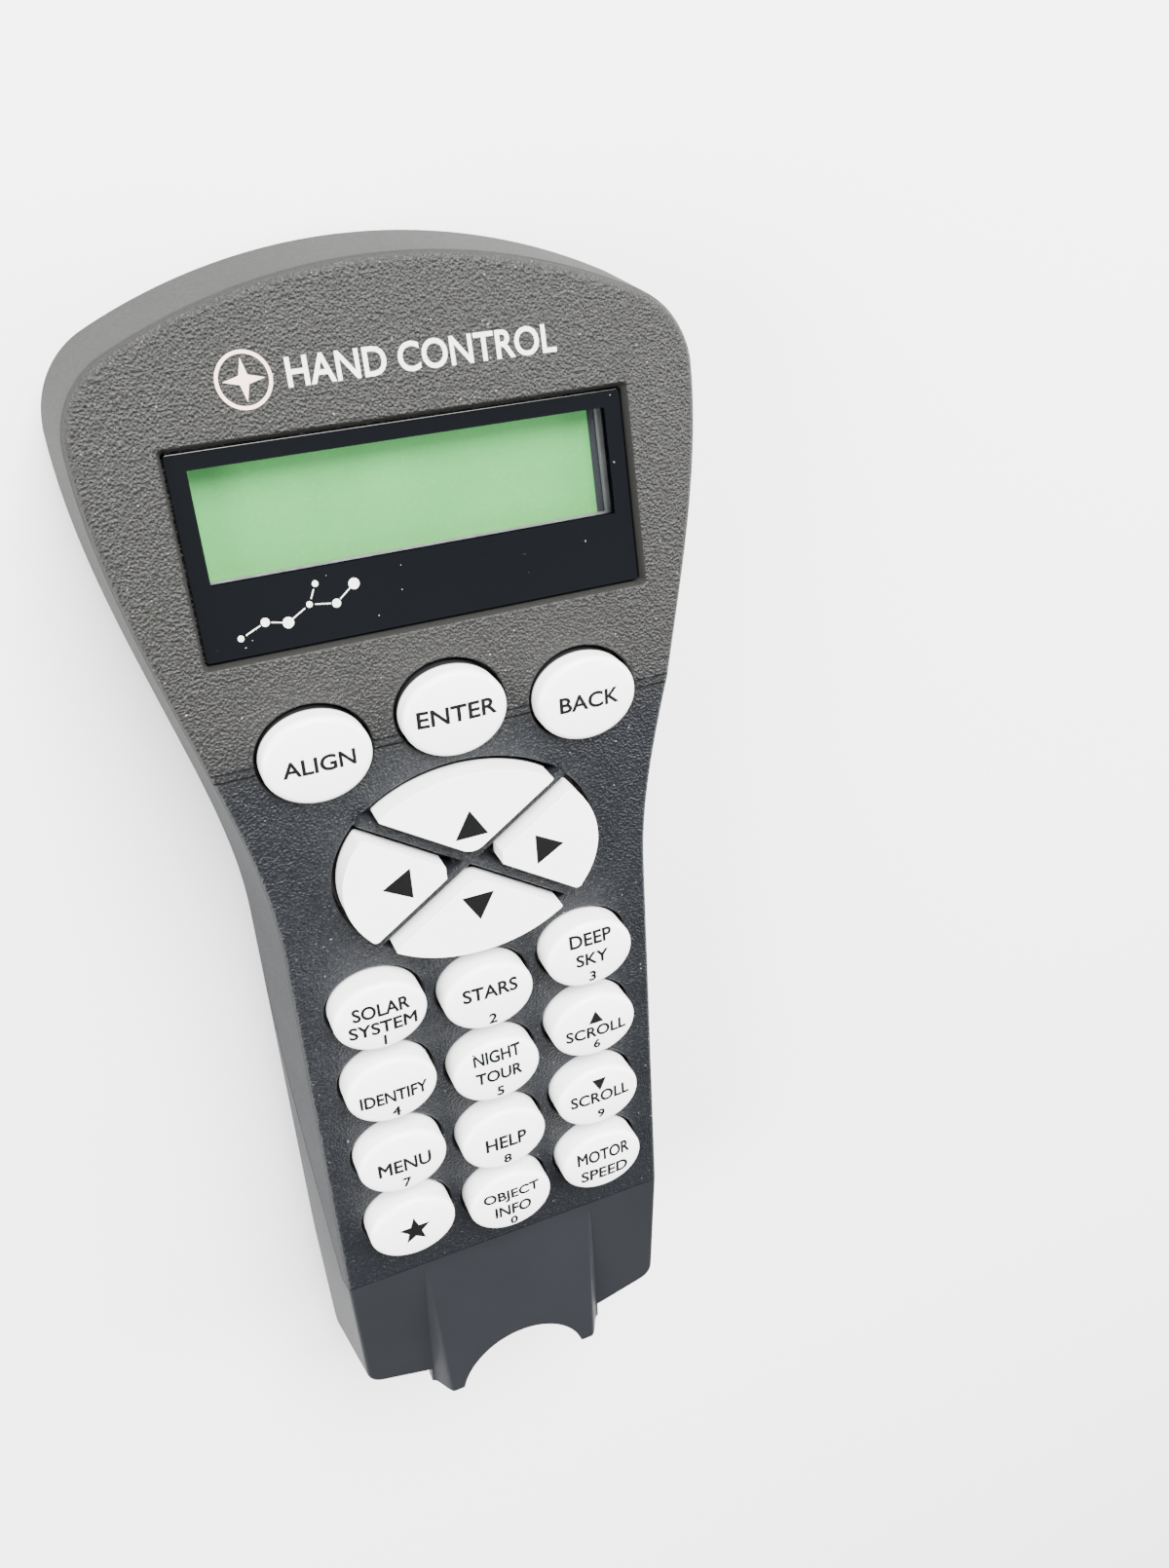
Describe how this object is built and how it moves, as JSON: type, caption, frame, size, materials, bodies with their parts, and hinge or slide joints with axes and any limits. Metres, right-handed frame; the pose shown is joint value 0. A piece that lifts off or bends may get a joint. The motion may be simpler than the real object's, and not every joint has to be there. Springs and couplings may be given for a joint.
{
  "type": "hand controller",
  "caption": "Telescope hand controller: a waisted two-part case with a tilted back-lit display, a direction pad, round push keys and a cord socket in an open bay at its lower end.",
  "frame": {"origin": "under the middle of the case, on the surface that its back rests on", "axes": "+Z out of the key face, +Y along the case to the display end, +X to the right of the keypad seen from the front"},
  "size_m": [0.0854, 0.1906, 0.0345],
  "materials": {
    "textured_plastic": "coarse moulded texture, low sheen",
    "smooth_plastic": "smooth satin",
    "key_plastic": "satin, slightly translucent",
    "window_acrylic": "polished, dark printed border",
    "display_glass": "green-tinted liquid crystal cell",
    "light_guide": "diffusing",
    "sheet_steel": "tinned",
    "screw_steel": "zinc plated",
    "circuit_board": "green solder mask",
    "silicone": "moulded silicone",
    "label_film": "blank printed film",
    "connector_plastic": "moulded",
    "black_component": "moulded"
  },
  "bodies": {
    "case": {"backlight": "light_guide", "board_screw_1": "screw_steel", "board_screw_2": "screw_steel", "board_screw_3": "screw_steel", "board_screw_4": "screw_steel", "case_screw_lower_left": "screw_steel", "case_screw_lower_right": "screw_steel", "case_screw_upper_left": "screw_steel", "case_screw_upper_right": "screw_steel", "clock_crystal": "sheet_steel", "cord_jack": "black_component", "data_port": "sheet_steel", "display_board": "circuit_board", "display_cable_socket": "connector_plastic", "display_cell": "display_glass", "display_controller": "black_component", "display_frame": "sheet_steel", "display_screw_1": "screw_steel", "display_screw_2": "screw_steel", "display_screw_3": "screw_steel", "display_screw_4": "screw_steel", "display_window": "window_acrylic", "front_cover": "textured_plastic", "key_mat": "silicone", "main_board": "circuit_board", "memory_chip": "black_component", "processor": "black_component", "rear_cover": "smooth_plastic", "rear_label": "label_film", "serial_chip": "black_component", "voltage_regulator": "black_component"},
    "align_key": {"align_key": "key_plastic"},
    "enter_key": {"enter_key": "key_plastic"},
    "back_key": {"back_key": "key_plastic"},
    "up_key": {"up_key": "key_plastic"},
    "down_key": {"down_key": "key_plastic"},
    "left_key": {"left_key": "key_plastic"},
    "right_key": {"right_key": "key_plastic"},
    "key_1": {"key_1": "key_plastic"},
    "key_2": {"key_2": "key_plastic"},
    "key_3": {"key_3": "key_plastic"},
    "key_4": {"key_4": "key_plastic"},
    "key_5": {"key_5": "key_plastic"},
    "key_6": {"key_6": "key_plastic"},
    "key_7": {"key_7": "key_plastic"},
    "key_8": {"key_8": "key_plastic"},
    "key_9": {"key_9": "key_plastic"},
    "key_0": {"key_0": "key_plastic"},
    "option_key": {"option_key": "key_plastic"},
    "speed_key": {"speed_key": "key_plastic"}
  },
  "joints": [
    {"name": "align_key_press", "type": "slide", "parent": "case", "child": "align_key", "axis": [0, 0, -1], "range_m": [0, 0.0012], "stiffness_N_per_m": 900, "springref_m": -0.0006},
    {"name": "enter_key_press", "type": "slide", "parent": "case", "child": "enter_key", "axis": [0, 0, -1], "range_m": [0, 0.0012], "stiffness_N_per_m": 900, "springref_m": -0.0006},
    {"name": "back_key_press", "type": "slide", "parent": "case", "child": "back_key", "axis": [0, 0, -1], "range_m": [0, 0.0012], "stiffness_N_per_m": 900, "springref_m": -0.0006},
    {"name": "up_key_press", "type": "slide", "parent": "case", "child": "up_key", "axis": [0, 0, -1], "range_m": [0, 0.0012], "stiffness_N_per_m": 900, "springref_m": -0.0006},
    {"name": "down_key_press", "type": "slide", "parent": "case", "child": "down_key", "axis": [0, 0, -1], "range_m": [0, 0.0012], "stiffness_N_per_m": 900, "springref_m": -0.0006},
    {"name": "left_key_press", "type": "slide", "parent": "case", "child": "left_key", "axis": [0, 0, -1], "range_m": [0, 0.0012], "stiffness_N_per_m": 900, "springref_m": -0.0006},
    {"name": "right_key_press", "type": "slide", "parent": "case", "child": "right_key", "axis": [0, 0, -1], "range_m": [0, 0.0012], "stiffness_N_per_m": 900, "springref_m": -0.0006},
    {"name": "key_1_press", "type": "slide", "parent": "case", "child": "key_1", "axis": [0, 0, -1], "range_m": [0, 0.0012], "stiffness_N_per_m": 900, "springref_m": -0.0006},
    {"name": "key_2_press", "type": "slide", "parent": "case", "child": "key_2", "axis": [0, 0, -1], "range_m": [0, 0.0012], "stiffness_N_per_m": 900, "springref_m": -0.0006},
    {"name": "key_3_press", "type": "slide", "parent": "case", "child": "key_3", "axis": [0, 0, -1], "range_m": [0, 0.0012], "stiffness_N_per_m": 900, "springref_m": -0.0006},
    {"name": "key_4_press", "type": "slide", "parent": "case", "child": "key_4", "axis": [0, 0, -1], "range_m": [0, 0.0012], "stiffness_N_per_m": 900, "springref_m": -0.0006},
    {"name": "key_5_press", "type": "slide", "parent": "case", "child": "key_5", "axis": [0, 0, -1], "range_m": [0, 0.0012], "stiffness_N_per_m": 900, "springref_m": -0.0006},
    {"name": "key_6_press", "type": "slide", "parent": "case", "child": "key_6", "axis": [0, 0, -1], "range_m": [0, 0.0012], "stiffness_N_per_m": 900, "springref_m": -0.0006},
    {"name": "key_7_press", "type": "slide", "parent": "case", "child": "key_7", "axis": [0, 0, -1], "range_m": [0, 0.0012], "stiffness_N_per_m": 900, "springref_m": -0.0006},
    {"name": "key_8_press", "type": "slide", "parent": "case", "child": "key_8", "axis": [0, 0, -1], "range_m": [0, 0.0012], "stiffness_N_per_m": 900, "springref_m": -0.0006},
    {"name": "key_9_press", "type": "slide", "parent": "case", "child": "key_9", "axis": [0, 0, -1], "range_m": [0, 0.0012], "stiffness_N_per_m": 900, "springref_m": -0.0006},
    {"name": "key_0_press", "type": "slide", "parent": "case", "child": "key_0", "axis": [0, 0, -1], "range_m": [0, 0.0012], "stiffness_N_per_m": 900, "springref_m": -0.0006},
    {"name": "option_key_press", "type": "slide", "parent": "case", "child": "option_key", "axis": [0, 0, -1], "range_m": [0, 0.0012], "stiffness_N_per_m": 900, "springref_m": -0.0006},
    {"name": "speed_key_press", "type": "slide", "parent": "case", "child": "speed_key", "axis": [0, 0, -1], "range_m": [0, 0.0012], "stiffness_N_per_m": 900, "springref_m": -0.0006}
  ]
}
